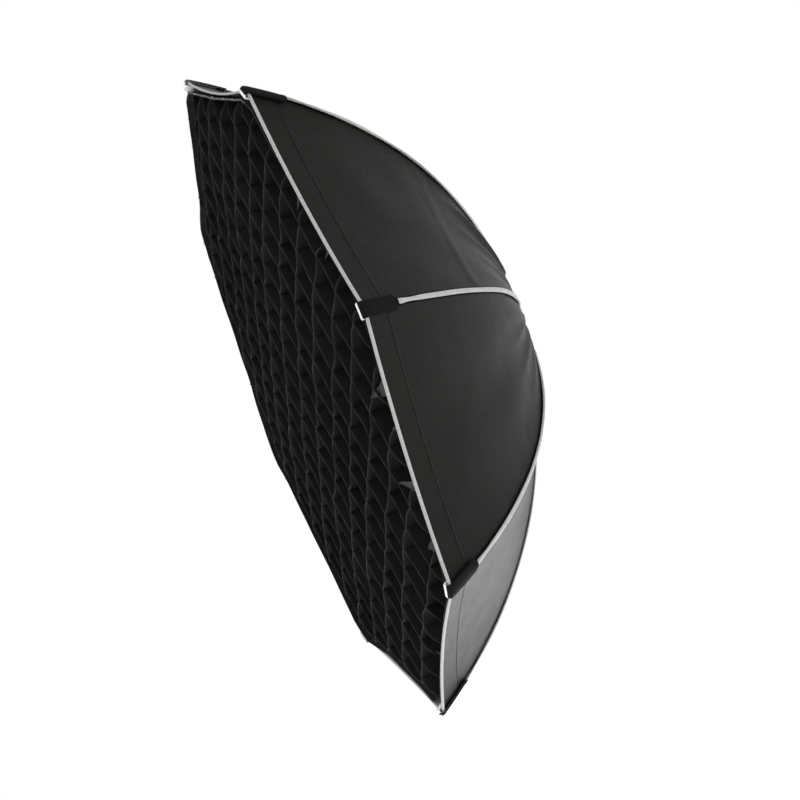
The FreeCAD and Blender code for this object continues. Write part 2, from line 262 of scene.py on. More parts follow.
def joined(parts):
    """Several (points, faces, material number or numbers) as one list of each."""
    points, faces, numbers = [], [], []
    start = 0
    for part_points, part_faces, number in parts:
        points.append(part_points)
        faces += [tuple(int(i) + start for i in f) for f in part_faces]
        numbers.append(np.broadcast_to(number, len(part_faces)))
        start += len(part_points)
    return np.concatenate(points), faces, np.concatenate(numbers)


def stitches(path, up, length, gap, radius):
    """A row of thread stitches lying on a path. Returns points, faces, and each point's share of the path."""
    run = run_of(path)
    count = int(run[-1] / (length + gap))
    pitch = run[-1] / count
    section = oval(radius, radius * 0.8, 6)
    parts, places = [], []
    for index in range(count):
        s = (index + 0.5) * pitch + np.array([-0.5, -0.2, 0.2, 0.5]) * length
        spots, lifted = (np.stack([np.interp(s, run, a[:, axis]) for axis in range(3)], 1) for a in (path, up))
        # each stitch dips into the cloth at its ends
        spots = spots + lifted * (radius * np.array([-0.6, 0.5, 0.5, -0.6]))[:, None]
        along = unit(spots[-1] - spots[0])
        points, faces = tube(spots, np.cross(along, lifted), lifted, section, [0.6, 1, 1, 0.6])
        parts.append((points, faces, 0))
        places.append(np.repeat(s / run[-1], len(section)))
    points, faces, _ = joined(parts)
    return points, faces, np.concatenate(places)


# ---- materials ----
class Look:
    """A procedural material on one Principled shader."""

    def __init__(self, name, colour, roughness, **values):
        self.material = bpy.data.materials.new(name)
        self.material.use_nodes = True
        self.nodes = self.material.node_tree.nodes
        self.links = self.material.node_tree.links
        self.shader = self.nodes["Principled BSDF"]
        self.shader.inputs["Base Color"].default_value = (*colour, 1)
        self.shader.inputs["Roughness"].default_value = roughness
        for key, value in values.items():
            self.shader.inputs[key.replace("_", " ")].default_value = value
        self.colour = colour
        self.roughness = roughness
        self.normal = None

    def place(self, uv):
        """Texture coordinates in metres: along the cloth, or in the CAD's frame."""
        node = self.nodes.new("ShaderNodeTexCoord")
        return node.outputs["UV" if uv else "Object"]

    def math(self, kind, *values):
        node = self.nodes.new("ShaderNodeMath")
        node.operation = kind
        for socket, value in zip(node.inputs, values):
            if isinstance(value, (int, float)):
                socket.default_value = value
            else:
                self.links.new(value, socket)
        return node.outputs[0]

    def noise(self, coordinates, size, detail=3.0):
        scale = self.nodes.new("ShaderNodeVectorMath")
        scale.operation = "MULTIPLY"
        scale.inputs[1].default_value = [1 / size] * 3
        self.links.new(coordinates, scale.inputs[0])
        node = self.nodes.new("ShaderNodeTexNoise")
        node.inputs["Scale"].default_value = 1.0
        node.inputs["Detail"].default_value = detail
        self.links.new(scale.outputs[0], node.inputs["Vector"])
        return node.outputs["Fac"]

    def ripple(self, coordinate, pitch):
        """A sine along one coordinate."""
        return self.math("SINE", self.math("MULTIPLY", coordinate, math.tau / pitch))

    def parts(self, coordinates):
        node = self.nodes.new("ShaderNodeSeparateXYZ")
        self.links.new(coordinates, node.inputs[0])
        return node.outputs

    def bump(self, height, depth):
        node = self.nodes.new("ShaderNodeBump")
        node.inputs["Distance"].default_value = depth
        self.links.new(height, node.inputs["Height"])
        if self.normal is not None:
            self.links.new(self.normal, node.inputs["Normal"])
        self.normal = node.outputs["Normal"]
        self.links.new(self.normal, self.shader.inputs["Normal"])

    def vary_roughness(self, factor, spread):
        node = self.nodes.new("ShaderNodeMapRange")
        node.inputs["To Min"].default_value = self.roughness - spread
        node.inputs["To Max"].default_value = min(1.0, self.roughness + spread)
        self.links.new(factor, node.inputs["Value"])
        self.links.new(node.outputs["Result"], self.shader.inputs["Roughness"])

    def vary_colour(self, factor, dark, light):
        """The colour times dark where the factor is low, and times light where it is high."""
        ramp = self.nodes.new("ShaderNodeValToRGB")
        for stop, position, share in zip(ramp.color_ramp.elements, (0.3, 0.7), (dark, light)):
            stop.position = position
            stop.color = (*[min(1.0, c * share) for c in self.colour], 1)
        self.links.new(factor, ramp.inputs["Fac"])
        self.links.new(ramp.outputs["Color"], self.shader.inputs["Base Color"])


def woven(name, colour, roughness, pitch, depth, soft, grain=0.0, tones=(0.86, 1.16), **values):
    """Cloth: a plain weave, with soft unevenness in tone, gloss and surface."""
    look = Look(name, colour, roughness, **values)
    place = look.place(True)
    x, y, _ = look.parts(place)
    look.bump(look.math("MULTIPLY", look.ripple(x, pitch), look.ripple(y, pitch)), depth)
    look.bump(look.noise(place, 0.045, 4.0), soft)
    if grain:
        look.bump(look.noise(place, 0.0022, 2.0), grain)
    look.vary_roughness(look.noise(place, 0.03), 0.06)
    look.vary_colour(look.noise(place, 0.012, 5.0), *tones)
    return look.material


def ribbed(name, colour, roughness, pitch, depth, across, tones=(0.85, 1.12), patch=0.006, **values):
    """Webbing, tape and elastic: ribs along or across it over a fine weave, with patches of uneven tone."""
    look = Look(name, colour, roughness, **values)
    place = look.place(True)
    x, y, _ = look.parts(place)
    look.bump(look.ripple(y if across else x, pitch), depth)
    look.bump(look.math("MULTIPLY", look.ripple(x, pitch * 0.8), look.ripple(y, pitch * 0.5)), depth * 0.5)
    look.vary_roughness(look.noise(place, 0.01), 0.05)
    look.vary_colour(look.noise(place, patch, 4.0), *tones)
    return look.material


def corded(name, colour, roughness, pitch, depth, **values):
    """Braided cord: ridges that run slantwise round it, with painted shade between them."""
    look = Look(name, colour, roughness, **values)
    place = look.place(True)
    x, y, _ = look.parts(place)
    ridge = look.ripple(look.math("ADD", look.math("MULTIPLY", x, 0.9), y), pitch)
    look.bump(ridge, depth)
    look.bump(look.noise(place, 0.0011, 2.0), 0.0001)
    look.vary_roughness(look.noise(place, 0.01), 0.05)
    # painted shade: the colour darkens between the ridges, mixed with random tone
    uneven = look.math("ADD", look.math("MULTIPLY", ridge, 0.16), look.noise(place, 0.005, 4.0))
    look.vary_colour(uneven, 0.80, 1.10)
    return look.material


def grained(name, colour, roughness, grain, gloss, tone, **values):
    """Moulded plastic or drawn steel: a fine surface, rubbed spots and uneven colour.
    grain is (size, detail, depth), gloss (size, detail, spread) and tone (size, detail, dark, light)."""
    look = Look(name, colour, roughness, **values)
    place = look.place(False)
    look.bump(look.noise(place, *grain[:2]), grain[2])
    look.vary_roughness(look.noise(place, *gloss[:2]), gloss[2])
    look.vary_colour(look.noise(place, *tone[:2]), *tone[2:])
    return look.material


def turned_metal(name, colour, roughness, **values):
    """Metal turned on a lathe about the box's axis, with fine rings."""
    look = Look(name, colour, roughness, **values)
    place = look.place(False)
    x, y, z = look.parts(place)
    radius = look.math("SQRT", look.math("ADD", look.math("MULTIPLY", x, x), look.math("MULTIPLY", z, z)))
    both = look.nodes.new("ShaderNodeCombineXYZ")
    look.links.new(radius, both.inputs[0])
    look.links.new(y, both.inputs[1])
    rings = look.noise(both.outputs[0], 0.0006, 3.0)
    look.bump(rings, 0.00004)
    look.vary_roughness(rings, 0.09)
    look.vary_colour(look.noise(place, 0.01, 5.0), 0.9, 1.08)
    return look.material


def silvered(name):
    """Silver reflective lining, lightly crinkled."""
    look = Look(name, (0.74, 0.74, 0.75), 0.34, Metallic=0.75)
    place = look.place(True)
    x, y, _ = look.parts(place)
    slants = [look.ripple(look.math(kind, x, y), 0.0042) for kind in ("ADD", "SUBTRACT")]
    look.bump(look.math("MULTIPLY", *slants), 0.00012)
    look.bump(look.noise(place, 0.02, 5.0), 0.0012)
    look.vary_roughness(look.noise(place, 0.008), 0.08)
    look.vary_colour(look.noise(place, 0.02, 4.0), 0.9, 1.06)
    return look.material


def grey(level):
    return level, level, level


MOULDED = (0.0007, 2.0, 0.00006), (0.012, 4.0, 0.08), (0.008, 5.0, 0.85, 1.25)
DRAWN = (0.0012, 4.0, 0.00003), (0.004, 4.0, 0.1), (0.02, 4.0, 0.82, 1.1)
SHELL = woven("shell_fabric", (0.0060, 0.0056, 0.0050), 0.37, 0.0011, 0.00006, 0.0007, 0.00035,
              Specular_IOR_Level=0.052)
LINING = silvered("silver_lining")
PIPING = corded("light_piping", (0.37, 0.365, 0.36), 0.7, 0.0034, 0.0003, Sheen_Weight=0.05)
# painted shade: a near-black tape under the rib piping, for the shadow gap beside the cord
SHADOW_GAP_TAPE = ribbed("shadow_gap_tape", grey(0.0012), 0.9, 0.0011, 0.00008, False, Specular_IOR_Level=0.05)
WEBBING = ribbed("pocket_webbing", (0.0028, 0.0027, 0.0026), 0.8, 0.0016, 0.00012, True,
                 Specular_IOR_Level=0.10)
POCKET_LINING = ribbed("pocket_lining", (0.72, 0.72, 0.71), 0.8, 0.0014, 0.0001, True)
THREAD = ribbed("black_thread", grey(0.0018), 0.9, 0.0005, 0.00003, True, Specular_IOR_Level=0.05)
# painted highlight on the grid border's front edge, in the first gore
BORDER_HIGHLIGHT = ribbed("border_highlight", (0.11, 0.11, 0.108), 0.7, 0.0005, 0.00003, True)
TACK = ribbed("tack_thread", (0.30, 0.30, 0.295), 0.6, 0.0005, 0.00003, True)
GRID = woven("grid_cloth", (0.0108, 0.0108, 0.0106), 0.9, 0.0012, 0.0001, 0.0008, Specular_IOR_Level=0.10)
# painted sheen: lighter cloth for the front hems of the grid's strips
GRID_HEM_SHEEN = ribbed("grid_hem_sheen", grey(0.018), 0.85, 0.0013, 0.00012, True, (0.10, 1.95), 0.03,
                  Specular_IOR_Level=0.1)
GRID_BAND = woven("grid_band_cloth", (0.0080, 0.0068, 0.0060), 0.85, 0.0012, 0.0001, 0.0008, 0.0, (0.5, 2.0),
                  Specular_IOR_Level=0.15)
# painted sheen: the curled loose ends of the strips are lighter than the grid's cloth
GRID_FOLD_SHEEN = woven("grid_fold_sheen_cloth", (0.028, 0.028, 0.027), 0.8, 0.0012, 0.0001, 0.0008,
                  Specular_IOR_Level=0.2)
DIFFUSER = woven("diffuser_cloth", (0.84, 0.84, 0.83), 0.85, 0.0009, 0.00004, 0.0008, 0.0, (0.95, 1.03),
                 Sheen_Weight=0.1)
ELASTIC = ribbed("elastic_band", grey(0.012), 0.8, 0.0012, 0.0002, False)
WHITE_ELASTIC = ribbed("white_elastic", (0.72, 0.72, 0.71), 0.8, 0.0012, 0.0002, False)
STEEL = grained("spring_steel_look", (0.44, 0.43, 0.42), 0.3, *DRAWN, Metallic=0.95)
HOLDER = grained("holder_plastic_look", (0.012, 0.012, 0.013), 0.42, *MOULDED)
LEVER = grained("lever_plastic_look", (0.05, 0.052, 0.055), 0.4, *MOULDED)
ALUMINIUM = turned_metal("aluminium_look", (0.50, 0.50, 0.51), 0.34, Metallic=0.95)
ANODISED = turned_metal("black_anodised_look", (0.022, 0.022, 0.024), 0.36, Metallic=0.6)


# ---- camera, floor and light ----
FLOOR_Z = -0.78
FLOOR_SIZE = 40.0


def make_camera():
    data = bpy.data.cameras.new("camera")
    data.sensor_width = 36.0
    data.lens = 91.45
    camera = add("camera", data)
    right = Vector((0.16809, 0.91054, -0.37769))
    up = Vector((0.19637, 0.34453, 0.91800))
    back = Vector((0.96602, -0.22846, -0.12091))
    turn = Matrix((right, up, back)).transposed().to_4x4()
    camera.matrix_world = Matrix.Translation((2.7279, -0.8318, -0.3958)) @ turn
    data.clip_start = 0.05
    data.clip_end = 200.0
    bpy.context.scene.camera = camera


def make_floor():
    corners = [(x * FLOOR_SIZE, y * FLOOR_SIZE, FLOOR_Z) for x, y in ((-1, -1), (1, -1), (1, 1), (-1, 1))]
    look = Look("pale_floor", (0.93, 0.93, 0.93), 0.9)
    look.vary_roughness(look.noise(look.place(False), 0.3), 0.05)
    look.shader.inputs["Emission Color"].default_value = (1, 1, 1, 1)
    # painted light: the floor glows brighter under the back of the box, where its lower gores mirror the floor
    x, y, _ = look.parts(look.place(False))
    away = [look.math("SUBTRACT", axis, middle) for axis, middle in ((x, -0.9), (y, 0.6))]
    squares = [look.math("POWER", distance, 2.0) for distance in away]
    falloff = look.math("DIVIDE", look.math("ADD", *squares), -1.6)
    glow = look.math("MULTIPLY", look.math("POWER", math.e, falloff), 2.2)
    look.links.new(look.math("ADD", glow, 0.38), look.shader.inputs["Emission Strength"])
    make("floor", corners, [(0, 1, 2, 3)], [look.material])


def make_lights():
    world = bpy.data.worlds.new("studio")
    scene.world = world
    world.use_nodes = True
    background = world.node_tree.nodes["Background"].inputs
    background["Color"].default_value = (1, 1, 1, 1)
    background["Strength"].default_value = 1.0
    lights = (("key_light", (2.6, 1.6, 2.6), 2.2, 30.0), ("front_light", (0.5, -4.0, 1.6), 2.4, 20.0))
    for name, place, size, power in lights:
        data = bpy.data.lights.new(name, "AREA")
        data.shape = "DISK"
        data.size = size
        data.energy = power
        light = add(name, data)
        light.location = place
        light.rotation_mode = "QUATERNION"
        light.rotation_quaternion = (Vector(place) - Vector((0, -0.15, 0))).to_track_quat("Z", "Y")
    scene.view_settings.view_transform = "Standard"
    scene.view_settings.look = "None"


# ---- the shell ----
TRIM_CORNERS = 14  # points round a piece of piping or binding
TRIM_STEP = 0.0009  # between two of them
HEM_STITCHES = (0.055, 0.995)  # where the hem's stitches start and end, as shares of the half gore


def crease(t, u, t_start, t_end, width, height):
    """A soft fold across a gore, left by packing it away."""
    middle = mix(t_start, t_end, u)
    return height * np.clip(1 - np.abs(t - middle) / width, 0, None)


def pleat(t, u, middle, width, height):
    """A narrow fold that runs out from the hub beside a rib, where the cloth is gathered."""
    return height * np.exp(-np.abs((u - middle + 0.1 * (1 - t)) / width) ** 1.5) * smooth(t, 0.56, 0.80)


def ridge_share(t):
    """Near the hub the rods leave the cloth, which settles a little over each of them."""
    return smooth(t, 0.62, 0.93)


def rim_start(u):
    """The t where the fabric starts: the rim's edge is cut as a shallow curve between two ribs."""
    return RIM_CUT * 4 * u * (1 - u)


def sag(gore, t, u):
    """How far the fabric of a gore lies inside the straight line between its two ribs."""
    between = 4 * u * (1 - u)
    depth = mix(RIM_SAG, BODY_SAG, smooth(t, 0.0, 0.35)) * (1 - smooth(t, 0.62, SHELL_END))
    from_rim = length_at(t) - length_at(rim_start(u))
    hem = HEM_RISE * (1 - smooth(from_rim, HEM_WIDTH - 0.0002, HEM_WIDTH + 0.0014))
    hem = hem + HEM_RISE * smooth(t, SHELL_END - 0.034, SHELL_END - 0.031)
    slack = RIDGE_DROP[gore] * (1 - u) ** 1.6 + RIDGE_DROP[(gore + 1) % RIBS] * u ** 1.6
    uneven = 0.0011 * waves(t * 0.5, u * 0.3, 40 + gore, 0.16) * smooth(t, 0.06, 0.3)
    pucker = np.sin(math.tau * (4.5 * u + 0.13 * gore) + 2.0 * np.sin(5 * t + gore))
    pucker = 0.0017 * (pucker - 0.4 * pucker ** 2) * smooth(t, 0.52, 0.86)
    pucker = pucker * (1 - 0.7 * smooth(t, 0.9, SHELL_END))
    folds = 0.0
    if gore == 1:
        folds = crease(t, u, 0.52, 0.47, 0.035, 0.0012) + pleat(t, u, 0.22, 0.055, 0.0042)
    if gore == 2:
        folds = pleat(t, u, 0.24, 0.05, 0.0022)
    inwards = between * (depth + uneven + pucker) - folds * np.minimum(1, between * 3)
    return inwards - hem + slack * ridge_share(t)


def gore_point(gore, t, u, lift=0.0):
    """A point of the shell's outside between two ribs: u is 0 on the first rib and 1 on the next."""
    t, u = np.broadcast_arrays(np.asarray(t, float), np.asarray(u, float))
    place, tangent = rib(t), rib_tangent(t)
    normal = unit(np.stack([tangent[..., 1], -tangent[..., 0] * COS_HALF], -1))
    inwards = sag(gore, t, u) - lift
    out = place[..., 0] * COS_HALF - normal[..., 0] * inwards
    y = place[..., 1] - normal[..., 1] * inwards
    points = np.stack([place[..., 0] * SIN_HALF * (2 * u - 1), y, out], -1)
    return turned(points, (gore + 0.5) * STEP)


def gore_of(rib_number, side):
    """The gore on one side of a rib, and the u of that rib in it."""
    if side == "after":
        return rib_number, 0.0
    return (rib_number - 1) % RIBS, 1.0


def half_u(near, share):
    """u at a share of the way from a rib to the crease of its gore."""
    return near + (0.5 - near) * np.asarray(share, float)


def bend(piece, rib_number, side):
    """Bakes the transform of a half gore's piece into its points."""
    gore, near = gore_of(rib_number, side)
    start = gore_point(gore, 0.3, near)
    end = gore_point(gore, 0.3, 0.5)
    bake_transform(piece)


def half_gore(rib_number, side):
    """One half gore: black outside, silver inside."""
    gore, near = gore_of(rib_number, side)
    share = np.linspace(0, 1, 22)
    u = half_u(near, share)
    # rows from the rim to the hub: a hem and its step, the cloth, and the other hem
    step = float(at_length(HEM_WIDTH))
    rows = np.concatenate([
        np.linspace(0, step - 0.003, 9), step + np.array([-0.0006, 0.0002, 0.0010, 0.0018, 0.0028]),
        np.linspace(step + 0.008, SHELL_END - 0.040, 80),
        SHELL_END - np.array([0.035, 0.0335, 0.032, 0.0305, 0.022, 0.011, 0.0]),
    ])[:, None]
    t = mix(rim_start(u) + rows, rows, rows / SHELL_END)
    outside = gore_point(gore, t, u)
    # thinner towards the crease, where the halves lie face to face when the box is folded
    inside = gore_point(gore, t, u, -FABRIC * (1 - 0.92 * smooth(share, 0.6, 1.0)))
    points, faces, under = two_sided(outside, inside)
    uv = sheet_uv(rib(t)[..., 0] * SIN_HALF * (2 * u - 1), length_at(t))
    piece = make(f"shell_{side}_{rib_number}", points, faces, [SHELL, LINING], under, uv)
    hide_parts(f"gore_{side}_rib_{rib_number}")
    bend(piece, rib_number, side)


def rim_trim(rib_number, side):
    """Light binding folded over the rim's edge, and the hem's row of stitches, on one half gore."""
    gore, near = gore_of(rib_number, side)
    share = np.linspace(0.0, 1.0, 40)
    u = half_u(near, share)
    t = rim_start(u) + 0.0036
    path = gore_point(gore, t, u, -FABRIC / 2)
    hubward = unit(gore_point(gore, t + 0.02, u, -FABRIC / 2) - path)
    up = unit(np.cross(np.gradient(path, axis=0), hubward))
    wobble = 0.0001 * waves(share * 0.2, near, 300 + gore, 0.03)
    binding = tube(path + up * wobble[:, None], hubward, up, oval(0.0024, 0.0015, TRIM_CORNERS))
    u = half_u(near, np.linspace(*HEM_STITCHES, 60))
    t = at_length(HEM_WIDTH - 0.0014) + rim_start(u)
    outwards = unit(gore_point(gore, t, u, 0.001) - gore_point(gore, t, u))
    thread, thread_faces, places = stitches(gore_point(gore, t, u, 0.00005), outwards, 0.0030, 0.0009, 0.00035)
    points, faces, numbers = joined([(*binding, 0), (thread, thread_faces, 1)])
    uv = np.concatenate([tube_uv(TRIM_CORNERS, TRIM_STEP, run_of(path)), thread[:, [0, 1]]])
    piece = make(f"rim_trim_{side}_{rib_number}", points, faces, [PIPING, THREAD], numbers, uv)
    bend(piece, rib_number, side)


def rib_piping(rib_number):
    """Light cord sewn into the seam along a rib, from the pocket to the hub, on a narrow black tape that is
    painted shade for the shadow gap along its sides.
    """
    length = np.linspace(0.044, float(length_at(SHELL_END - 0.004)), 110)
    t = at_length(length)
    place, normal = rib(t), rib_normal(t)
    lean = 0.0004 * waves(length, rib_number * 0.37, 500 + rib_number, 0.12)
    height = 0.0009 - RIDGE_DROP[rib_number] * ridge_share(t)
    path = np.stack([lean, place[:, 1] + normal[:, 1] * height, place[:, 0] + normal[:, 0] * height], 1)
    flat_side = np.tile([1.0, 0, 0], (len(t), 1))
    flat_up = np.stack([np.zeros(len(t)), normal[:, 1], normal[:, 0]], 1)
    twist = 0.5 * waves(length, rib_number * 0.7, 530 + rib_number, 0.2)[:, None]
    side = flat_side * np.cos(twist) + flat_up * np.sin(twist)
    up = flat_up * np.cos(twist) - flat_side * np.sin(twist)
    # thin at the pocket, then fuller, then slimmer for a short way
    size = 0.5 + 0.5 * smooth(length, 0.050, 0.058)
    size = size + 0.12 * np.exp(-((length - 0.062) / 0.007) ** 2)
    size = size - 0.22 * np.exp(-((length - 0.082) / 0.012) ** 2)
    cord = tube(path, side, up, oval(0.0032, 0.0019, TRIM_CORNERS), size)
    # painted shade: the black tape shows on both sides of the cord as its shadow gap
    tape = tube(path - flat_up * 0.0009, flat_side, flat_up, oval(0.0046, 0.0005, 8))
    points, faces, numbers = joined([(*cord, 0), (*tape, 1)])
    uv = np.concatenate([tube_uv(TRIM_CORNERS, TRIM_STEP, length), tube_uv(8, 0.0012, length)])
    piece = make(f"rib_piping_{rib_number}", turned(points, rib_number * STEP), faces, [PIPING, SHADOW_GAP_TAPE],
                 numbers, uv)
    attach(piece, f"rib_{rib_number}")


# ---- corner pockets ----
POCKET_HALF = 0.0105  # half the width
POCKET_TAIL = 0.0565  # from the rim to the pocket's rear end
POCKET_FOLD = 0.0042  # half the height of the fold
POCKET_FLAT = 0.32  # the fold's reach past the rim, as a share of its height: it is pressed flat
POCKET_INNER = 0.012  # length of the inner leg
WEB = 0.0011  # half the thickness of the webbing


def pocket_surface(x, s, lift):
    """A point at a height over the pocket's middle surface: x across it, s along it from its rear end."""
    angle = np.clip((s - POCKET_TAIL) / POCKET_FOLD, 0, math.pi)
    past = np.clip(s - POCKET_TAIL - math.pi * POCKET_FOLD, 0, None)
    t = at_length(np.clip(POCKET_TAIL - s, 0, None))
    place, tangent, normal = rib(t), rib_tangent(t), rib_normal(t)
    ridge = 0.414 * (np.sqrt(x ** 2 + 0.004 ** 2) - 0.004) * (1 - smooth(angle, 0.0, 2.2))
    rise = 0.0009 + WEB + 0.0006 * (1 - smooth(s, 0.0, 0.01))
    reach = POCKET_FOLD + WEB
    height = rise - reach * (1 - np.cos(angle)) + lift * np.cos(angle)
    forward = (POCKET_FLAT * reach + lift) * np.sin(angle) - past
    radius = place[..., 0] - tangent[..., 0] * forward + normal[..., 0] * height - ridge
    y = place[..., 1] - tangent[..., 1] * forward + normal[..., 1] * height
    return np.stack([x + 0 * s, y, radius], -1)


def pocket_stitch_lines():
    """Rows of stitches, as both ends' x and s: the sides, the rear end, and a bar."""
    side, rear, front = POCKET_HALF - 0.0022, 0.0035, POCKET_TAIL - 0.004
    lines = [((sign * side, sign * side), (rear + 0.004, front)) for sign in (-1, 1)]
    return lines + [((-side + 0.003, side - 0.003), (rear, rear)), ((-side, side), (front, front))]


def corner_pocket(rib_number):
    """Webbing folded over the rim and the rod's tip and sewn down: black outside, with a white lining."""
    total = POCKET_TAIL + math.pi * POCKET_FOLD + POCKET_INNER
    s = np.concatenate([[0.0, 0.0015, 0.003, 0.005, 0.0065, 0.008], np.linspace(0.011, total, 56)])[:, None]
    # the rear end's corners are cut off
    half = POCKET_HALF - 0.0055 * (1 - np.clip(s[:, 0] / 0.0065, 0, 1))
    x = np.linspace(-1, 1, 17) * half[:, None]
    s = np.broadcast_to(s, x.shape)
    edge = 1 - 0.55 * smooth(np.abs(x) / half[:, None], 0.86, 1.0)
    points, faces, under = two_sided(pocket_surface(x, s, WEB * edge), pocket_surface(x, s, -WEB * edge))
    black_end = POCKET_TAIL + 1.75 * POCKET_FOLD
    white = (under > 0) | (np.tile(s.ravel(), 2)[faces].mean(axis=1) > black_end)
    # they share no points, so that the tone changes along a sharp line
    parts = [(points, faces[~white], 0), (points, faces[white], 2)]
    uv = [sheet_uv(x, s)] * 2
    line = np.linspace(0, 1, 24)
    for xs, ss in pocket_stitch_lines():
        x, s = mix(*xs, line), mix(*ss, line)
        up = unit(pocket_surface(x, s, WEB + 0.001) - pocket_surface(x, s, WEB))
        thread, thread_faces, _ = stitches(pocket_surface(x, s, WEB + 0.00005), up, 0.0024, 0.0010, 0.0003)
        parts.append((thread, thread_faces, 1))
        uv.append(thread[:, [0, 1]])
    points, faces, numbers = joined(parts)
    piece = make(f"pocket_{rib_number}", turned(points, rib_number * STEP), faces,
                 [WEBBING, THREAD, POCKET_LINING], numbers, np.concatenate(uv))
    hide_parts(f"corner_pocket_{rib_number}")
    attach(piece, f"rib_{rib_number}")


# ---- grid ----
def outside_at(y):
    """Corner radius of the shell's outside at a depth."""
    curve = rib(ARC_T)
    return np.interp(np.clip(y, RIM_Y, None), curve[:, 1], curve[:, 0])


def wall(azimuth, y, inset):
    """Distance from the axis to the inside of the shell, less an inset, with the corners cut off."""
    gore = np.floor(azimuth / STEP)
    from_middle = azimuth - (gore + 0.5) * STEP
    u = np.clip((np.tan(from_middle) / TAN_HALF + 1) / 2, 0, 1)
    corner = outside_at(y)
    # the grid's border is pulled straight at the front of the first gore
    taut = 0.75 * (gore == 0) * smooth(-y, 0.255, 0.295)
    flat = corner * COS_HALF - mix(4 * u * (1 - u), 1.0, taut) * RIM_SAG * 1.05 - FABRIC - inset
    cut = corner - CORNER_CUT - inset
    return np.minimum(flat / np.cos(from_middle), cut / np.cos(HALF - np.abs(from_middle)))


def plane_point(xi, eta):
    """(x, z) of a place on the grid, measured in the two directions that its strips run in."""
    first, second = 3 * HALF, -HALF
    x = xi * math.sin(first) + eta * math.sin(second)
    z = xi * math.cos(first) + eta * math.cos(second)
    return x, z


def reach_along(xi, y, way, sign):
    """How far a strip at a distance from the middle reaches before it meets the border."""
    low, high = np.zeros_like(y), np.full_like(y, 0.6)
    for _ in range(40):
        middle = (low + high) / 2
        x, z = plane_point(xi, sign * middle) if way == 0 else plane_point(sign * middle, xi)
        azimuth = np.mod(np.arctan2(x, z), math.tau)
        inside = np.hypot(x, z) < wall(azimuth, y, WALL_GAP + BORDER)
        low = np.where(inside, middle, low)
        high = np.where(inside, high, middle)
    return low


# rows of a strip's points from front to back: place in its depth, and half its thickness there
ROW_SHARE = np.array([0.0, 0.015, 0.045, 0.075, 0.3, 0.5, 0.75, 1.0])
ROW_HALF = np.array([0.0004, 0.0008, 0.0009, 0.0006, 0.0006, 0.0006, 0.0006, 0.0006])
HEM_SHEEN_ROWS = 1
HEM_SHEEN_CLEAR = 0.011  # the lighter hem colour, painted sheen, stops this far from the border on a strip's front edge
CELL_STEPS = 7  # points along a cell's side
END_CLEAR = 0.006  # a strip has no crossing nearer than this to its ends
DRIFT = 0.0045  # slow wander of the crossings' front ends
STRAY_FRONT = 0.0042  # how far each crossing strays by itself, in front
STRAY_BACK = 0.0012  # and at the back
BOW = 0.0052  # how far a cell's side bows out in front
TWIST = 0.0026  # the part of the bow that changes sides half way
SPREAD = 2 * GRID_STRIPS + 1
grid_rng = np.random.default_rng(7)
NODE_SHIFT = grid_rng.uniform(-1, 1, (2, SPREAD, SPREAD, 2))
WALL_BOW = grid_rng.uniform(-1, 1, (2, 2, SPREAD, SPREAD + 1))


def node_place(i, j):
    """Where two strips cross, at each row: loose in front, and near its cut place at the back."""
    base = i * GRID_PITCH, j * GRID_PITCH
    place = []
    for axis in (0, 1):
        front, back = NODE_SHIFT[:, i + GRID_STRIPS, j + GRID_STRIPS, axis]
        loose = DRIFT * waves(*base, 61 + axis, 0.5) + STRAY_FRONT * front
        place.append(base[axis] + loose * (1 - ROW_SHARE) + STRAY_BACK * back * ROW_SHARE)
    return place


def strip_line(index, way):
    """Plan of one strip: (stations, rows) arrays of its place across and along."""
    xi = index * GRID_PITCH
    y = mix(GRID_FRONT, GRID_BACK, ROW_SHARE)
    start, end = -reach_along(xi, y, way, -1), reach_along(xi, y, way, 1)
    crossings = [j for j in range(-GRID_STRIPS, GRID_STRIPS + 1)
                 if start.max() + END_CLEAR < j * GRID_PITCH < end.min() - END_CLEAR]
    nodes = [node_place(index, j) if way == 0 else node_place(j, index)[::-1] for j in crossings]
    lines = [(np.full_like(y, xi), start), *nodes, (np.full_like(y, xi), end)]
    across, along = [], []
    for number, (first, second) in enumerate(zip(lines, lines[1:])):
        last = number == len(lines) - 2
        bows = WALL_BOW[way, :, index + GRID_STRIPS, number]
        for station in range(CELL_STEPS + last):
            f = station / CELL_STEPS
            swing = BOW * bows[0] + TWIST * bows[1] * math.cos(math.pi * f)
            bow = math.sin(math.pi * f) ** 1.5 * (swing * (1 - ROW_SHARE) ** 1.3 + 0.001 * bows[1])
            across.append(mix(first[0], second[0], f) + bow)
            along.append(mix(first[1], second[1], f))
    return np.array(across), np.array(along)


def front_bulge(x, z):
    """How far the grid's soft front edges stand forward of their cut line."""
    radius = np.hypot(x, z)
    return GRID_BULGE * np.clip(1 - (radius / BULGE_RADIUS) ** 2, 0, 1) + 0.0010 * waves(x, z, 71, 0.11)


END_LENGTH = 0.030  # the part of a strip next to the border that swings and slopes


def end_flare(across, along, way, index):
    """The front edge of a strip swings sideways a little before it meets the border."""
    rng = np.random.default_rng(900 + 50 * way + index)
    for reach in (along - along[0], along[-1] - along):
        swing = 0.004 * rng.uniform(-1, 1)
        across = across + swing * np.sin(math.pi * np.clip(reach / END_LENGTH, 0, 1)) * (1 - ROW_SHARE) ** 2.5
    return across


def end_slope(reach):
    """How far the front edge of a strip falls back where its ends are sewn to the border."""
    return 0.009 * (1 - smooth(reach, 0.0, END_LENGTH))


